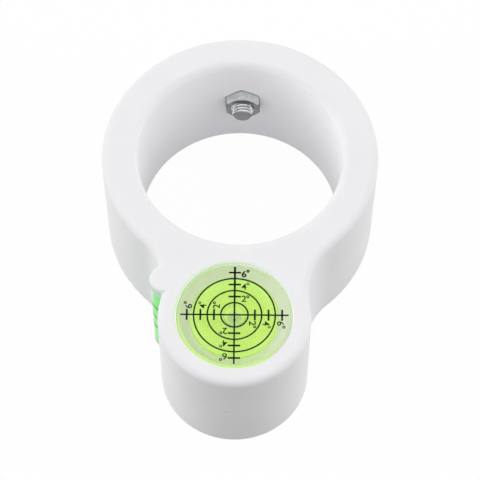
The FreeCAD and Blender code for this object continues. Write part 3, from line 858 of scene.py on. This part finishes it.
def build_print(material):
    """Rings, cross, ticks and the degrees beside them, on the round vial's face."""
    centre = Vector((VIAL_AXIS.x, VIAL_AXIS.y, PRINT_LEVEL))
    rings = grow("print_rings", ring_lines, {
        "First radius": RING_STEP,
        "Radius step": RING_STEP,
        "Height step": 0.0,
        "Section width": RING_LINE,
        "Section height": INK_THICKNESS,
    }, material)
    finish_mesh("print_rings", place_mesh(rings, centre), [], "collar")

    cross = grow("print_cross", cross_lines, {
        "Ring step": RING_STEP,
        "Tick line": TICK_LINE,
        "Tick length": TICK_LENGTH,
        "Arm length": ARM_LENGTH,
        "Cross line": CROSS_LINE,
        "Thickness": CROSS_THICKNESS,
    }, material)
    # The outer half of the arm towards the ring is bolder.
    for corner in cross.vertices:
        if abs(corner.co.x) < CROSS_LINE and corner.co.y > 0.5 * ARM_LENGTH:
            corner.co.x *= FAR_ARM_WIDENING
    place_mesh(cross, centre, PRINT_TURN)
    finish_mesh("print_cross", cross, [], "collar")

    numbers = []
    for arm in range(4):
        for words, along in DIGIT_PLACES.items():
            far = arm == 0 and words == "6"
            weight = FAR_DIGIT_WEIGHT if far else DIGIT_WEIGHTS[words]
            digit = digit_mesh(words, weight)
            degree = degree_mesh(DEGREE_WEIGHT * weight)
            lifted = along + DEGREE_LIFTS[words]
            place_mesh(digit, Vector((DIGIT_ASIDE, along, 0.0)) * RING_STEP)
            place_mesh(degree, Vector((DEGREE_ASIDE, lifted, 0.0)) * RING_STEP)
            for mesh in (digit, degree):
                numbers.append(place_mesh(mesh, centre, PRINT_TURN - arm * math.pi / 2.0))
    mesh = joined_mesh("print_numbers", numbers)
    finish_mesh("print_numbers", mesh, [material], "collar")


def build_tube_rings(material):
    """Lines round the tubular vial, one at its middle and one on each side."""
    mesh = grow("tube_rings", ring_lines, {
        "First radius": TUBE_RADIUS + TUBE_LINE_LIFT,
        "Radius step": 0.0,
        "Height step": TUBE_LINE_STEP,
        "Section width": TUBE_LINE_THICKNESS,
        "Section height": TUBE_LINE_WIDTH,
    }, material)
    place_mesh(mesh, TUBE_AXIS - Vector((0.0, 0.0, TUBE_LINE_STEP)))
    finish_mesh("tube_rings", mesh, [], "collar")


# Clamp screw

def thread_surface(root, size):
    """A helical thread: a grid round the Z axis, its radius set by the place within the pitch."""
    cells = {"Size X": 1.0, "Size Y": size["Length"],
             "Vertices X": THREAD_GRID[0], "Vertices Y": THREAD_GRID[1]}
    grid = root.node("GeometryNodeMeshGrid", None, cells)
    across, along, _ = axes_of(root, root.node("GeometryNodeInputPosition"))
    phase = (along / size["Pitch"] - across).maths("FRACT")
    wave = (phase - 0.5).maths("ABSOLUTE") * 2.0
    flank = {"Value": wave, "From Min": THREAD_FLANK[0], "From Max": THREAD_FLANK[1]}
    crest = root.node("ShaderNodeMapRange", {"interpolation_type": "LINEAR"}, flank)
    from_tip = size["Length"] * 0.5 - along
    tip_bevel = size["Major radius"] - size["Tip bevel"] + from_tip
    reach = size["Minor radius"] + crest * (size["Major radius"] - size["Minor radius"])
    reach = reach.maths("MINIMUM", tip_bevel)
    angle = across * (2.0 * math.pi)
    wrapped = root.node("ShaderNodeCombineXYZ", None, {
        "X": reach * angle.maths("COSINE"),
        "Y": reach * angle.maths("SINE"),
        "Z": along,
    })
    shape = root.node("GeometryNodeSetPosition", None, {"Geometry": grid, "Position": wrapped})
    merged = {"Geometry": shape, "Distance": THREAD_WELD}
    return root.node("GeometryNodeMergeByDistance", None, merged)


def build_screw(material):
    """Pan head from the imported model, and a threaded shank in place of its plain one."""
    head = bmesh.new()
    head.from_mesh(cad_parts["clamp_screw"].data)
    bmesh.ops.remove_doubles(head, verts=head.verts, dist=1e-7)
    cut = bmesh.ops.bisect_plane(
        head, geom=head.verts[:] + head.edges[:] + head.faces[:],
        plane_co=(0.0, NECK, 0.0), plane_no=(0.0, -1.0, 0.0), clear_outer=True)
    rim = [item for item in cut["geom_cut"] if isinstance(item, bmesh.types.BMEdge)]
    bmesh.ops.edgeloop_fill(head, edges=rim)
    head_mesh = mesh_from(head, "screw_head")
    head_mesh.materials.clear()

    tip = SCREW_LOW.y
    length = NECK + NECK_OVERLAP - tip
    thread = grow("screw_thread", thread_surface, {
        "Length": length,
        "Pitch": THREAD_PITCH,
        "Major radius": THREAD_TOP,
        "Minor radius": THREAD_ROOT,
        "Tip bevel": THREAD_BEVEL,
    }, material)
    shank = bmesh.new()
    shank.from_mesh(thread)
    bmesh.ops.holes_fill(shank, edges=[edge for edge in shank.edges if edge.is_boundary])
    bmesh.ops.recalc_face_normals(shank, faces=shank.faces)
    shank.to_mesh(thread)
    shank.free()
    turn = Matrix.Rotation(math.pi / 2.0, 4, "X")
    thread.transform(Matrix.Translation((0.0, tip + length / 2, SCREW_LEVEL)) @ turn)
    thread.materials.clear()
    mesh = joined_mesh("clamp_screw_threaded", [head_mesh, thread])
    finish_mesh("clamp_screw_threaded", mesh, [material], "screw", "clamp_screw")


# Stage, light and camera

def seen_directly(root):
    """1 for camera, glossy and transmission rays, and 0 for the rays that light a surface."""
    path = root.node("ShaderNodeLightPath").socket.node
    camera, glossy, passing = [Wire(root.tree, path.outputs[f"Is {kind} Ray"])
                               for kind in ("Camera", "Glossy", "Transmission")]
    return (camera + glossy + passing).clamped()


def build_stage():
    """A plain pale floor that keeps the object's shadow."""
    mesh = bpy.data.meshes.new("floor")
    half = FLOOR_HALF
    corners = [(-half, -half, 0), (half, -half, 0), (half, half, 0), (-half, half, 0)]
    mesh.from_pydata(corners, [], [(0, 1, 2, 3)])
    floor = bpy.data.objects.new("floor", mesh)
    bpy.context.scene.collection.objects.link(floor)
    material = bpy.data.materials.new("floor")
    material.use_nodes = True
    material.node_tree.nodes.clear()
    root = Wire(material.node_tree)
    grey = colour(FLOOR_GREY, FLOOR_GREY, FLOOR_GREY)
    matt = root.node("ShaderNodeBsdfDiffuse", None, {"Color": grey})
    white = root.node("ShaderNodeEmission", None, {"Color": WHITE, "Strength": FLOOR_WHITE})
    share = seen_directly(root) * FLOOR_WHITE_SHARE
    blend = root.node("ShaderNodeMixShader", None, {0: share, 1: matt, 2: white})
    root.node("ShaderNodeOutputMaterial", None, {"Surface": blend})
    mesh.materials.append(material)


def build_world():
    """A white studio: soft lights on the left, low and high on the right, and a weak one behind."""
    world = bpy.data.worlds.new("studio")
    world.use_nodes = True
    world.node_tree.nodes.clear()
    root = Wire(world.node_tree)
    x, y, z = axes_of(root, root.node("ShaderNodeTexCoord"))
    light = z * 0.0
    for bearing, height, strength in STUDIO:
        bearing, height = math.radians(bearing), math.radians(height)
        level = math.cos(height)
        lobe = (x * (level * math.cos(bearing)) + y * (level * math.sin(bearing))
                + z * math.sin(height))
        lobe = lobe.maths("MAXIMUM", 0.0)
        light = light + lobe * lobe * lobe * strength
    seen = seen_directly(root)
    strength = light * (1.0 - seen) + seen
    white = {"Color": WHITE, "Strength": strength}
    background = root.node("ShaderNodeBackground", None, white)
    root.node("ShaderNodeOutputWorld", None, {"Surface": background})
    bpy.context.scene.world = world


def build_camera():
    """The photograph's view, from the fitted bearing, height, roll and distance."""
    azimuth, elevation = math.radians(PHOTO_AZIMUTH), math.radians(PHOTO_ELEVATION)
    back = Vector((math.sin(azimuth) * math.cos(elevation),
                   -math.cos(azimuth) * math.cos(elevation),
                   math.sin(elevation)))
    right = Vector((math.cos(azimuth), math.sin(azimuth), 0.0))
    right = Matrix.Rotation(math.radians(PHOTO_ROLL), 3, back) @ right
    up = back.cross(right)
    camera = bpy.data.objects.new("camera", bpy.data.cameras.new("camera"))
    camera.data.sensor_width = SENSOR
    camera.data.lens = FOCAL_LENGTH
    camera.data.clip_end = CAMERA_REACH
    camera.data.shift_x = -PIXEL_CENTRE
    camera.data.shift_y = PIXEL_CENTRE
    dark_face_shade = Matrix((right, up, back)).transposed().to_4x4()
    camera.matrix_world = Matrix.Translation(CAMERA_TARGET + back * CAMERA_DISTANCE) @ dark_face_shade
    bpy.context.scene.collection.objects.link(camera)
    bpy.context.scene.camera = camera


def paint_node(node, material):
    """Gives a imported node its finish."""
    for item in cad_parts[node].material_slots:
        item.material = material


def main():
    clear = clear_acrylic("clear_acrylic", ACRYLIC_INDEX, colour(0.98, 1.0, 0.97))
    lime = dyed_liquid("lime_liquid", colour(0.62, 0.95, 0.20), 0.08)
    lime_wall = dyed_liquid(
        "lime_liquid_wall", colour(0.72, 0.89, 0.42), 0.85, colour(0.13, 0.17, 0.05))
    lime_surface = clear_acrylic(
        "lime_liquid_surface", LIQUID_INDEX, colour(0.96, 1.0, 0.90))
    tube_clear = clear_acrylic("tube_acrylic", ACRYLIC_INDEX, colour(0.93, 1.0, 0.95))
    green = dyed_liquid(
        "green_liquid", colour(0.20, 0.82, 0.16), 0.7, colour(0.055, 0.25, 0.04))
    mint = dyed_liquid("bubble_wall", colour(0.24, 0.78, 0.36), 0.6, colour(0.12, 0.23, 0.15))
    green_surface = clear_acrylic(
        "green_liquid_surface", LIQUID_INDEX, colour(0.85, 1.0, 0.88))

    paint_node("collar_body", white_plastic())
    paint_node("clamp_nut", nut_steel())
    paint_node("tube_vial_plug", tube_clear)
    build_round_vial(clear, lime, lime_wall, lime_surface, vial_floor())
    build_tube_vial(tube_clear, green, mint, green_surface)
    build_print(print_ink())
    build_tube_rings(ring_ink())
    build_screw(screw_steel())
    build_stage()
    build_world()
    build_camera()
    bpy.context.scene.view_settings.view_transform = "Standard"


main()
